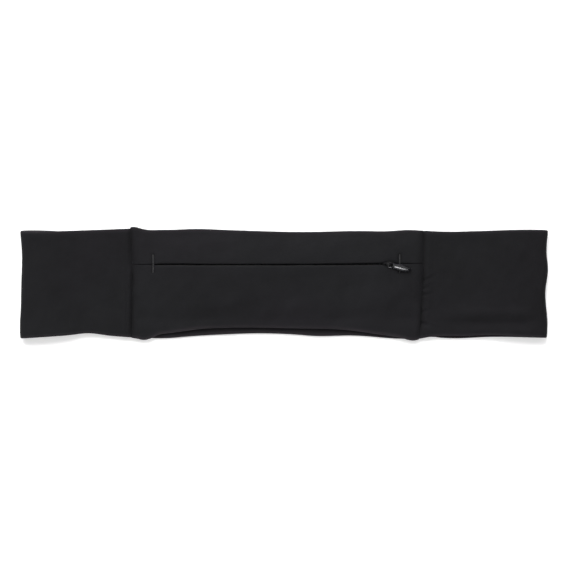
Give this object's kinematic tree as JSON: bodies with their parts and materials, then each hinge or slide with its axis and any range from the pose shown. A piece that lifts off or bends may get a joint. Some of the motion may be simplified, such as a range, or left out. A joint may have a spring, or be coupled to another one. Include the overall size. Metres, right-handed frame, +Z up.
{
  "type": "money belt",
  "caption": "Pull-on money belt of stretch knit, lying flat on its back: a closed loop of doubled fabric whose front is a pocket with a concealed zip.",
  "frame": {"origin": "bottom centre of the belt's box, on the surface that its back lies on", "axes": "+X along the belt towards the closed end of the zip, +Y across the band towards its top edge, +Z up from that surface, out of the front"},
  "size_m": [0.437, 0.0924, 0.0105],
  "materials": {
    "knit": "matte black stretch knit",
    "lining": "matte black knit, the fabric's inner side",
    "elastic": "ribbed black elastic",
    "zip_tape": "woven black polyester tape",
    "zip_coil": "black nylon monofilament",
    "thread": "dark grey polyester thread",
    "dark_enamel": "glossy black enamel on zinc alloy",
    "gunmetal": "polished dark gunmetal plating"
  },
  "bodies": {
    "belt": {"band_outer": "knit", "band_inner": "lining", "front_upper_panel": "knit", "front_lower_panel": "knit", "pocket_lining": "lining", "band_top_elastic": "elastic", "band_bottom_elastic": "elastic", "front_top_elastic": "elastic", "front_bottom_elastic": "elastic", "left_side_seam": "lining", "right_side_seam": "lining", "zip_tape_upper": "zip_tape", "zip_tape_lower": "zip_tape", "zip_teeth_upper": "zip_coil", "zip_teeth_lower": "zip_coil", "zip_top_stops": "dark_enamel", "zip_bottom_stop": "dark_enamel", "upper_zip_stitches": "thread", "lower_zip_stitches": "thread", "left_bar_tack": "thread", "right_bar_tack": "thread"},
    "slider": {"slider_body": "dark_enamel", "slider_crown": "dark_enamel"},
    "puller": {"zip_puller": "gunmetal"}
  },
  "joints": [
    {"name": "zip_slide", "type": "slide", "parent": "belt", "child": "slider", "axis": [-1, 0, 0], "range_m": [0, 0.187], "deforming": ["zip_teeth_upper", "zip_teeth_lower"]},
    {"name": "puller_flip", "type": "hinge", "parent": "slider", "child": "puller", "pos_m": [0.0867, 0.0157, 0.00865], "axis": [-0.2164, -0.9763, 0], "range_deg": [0, 165]}
  ]
}
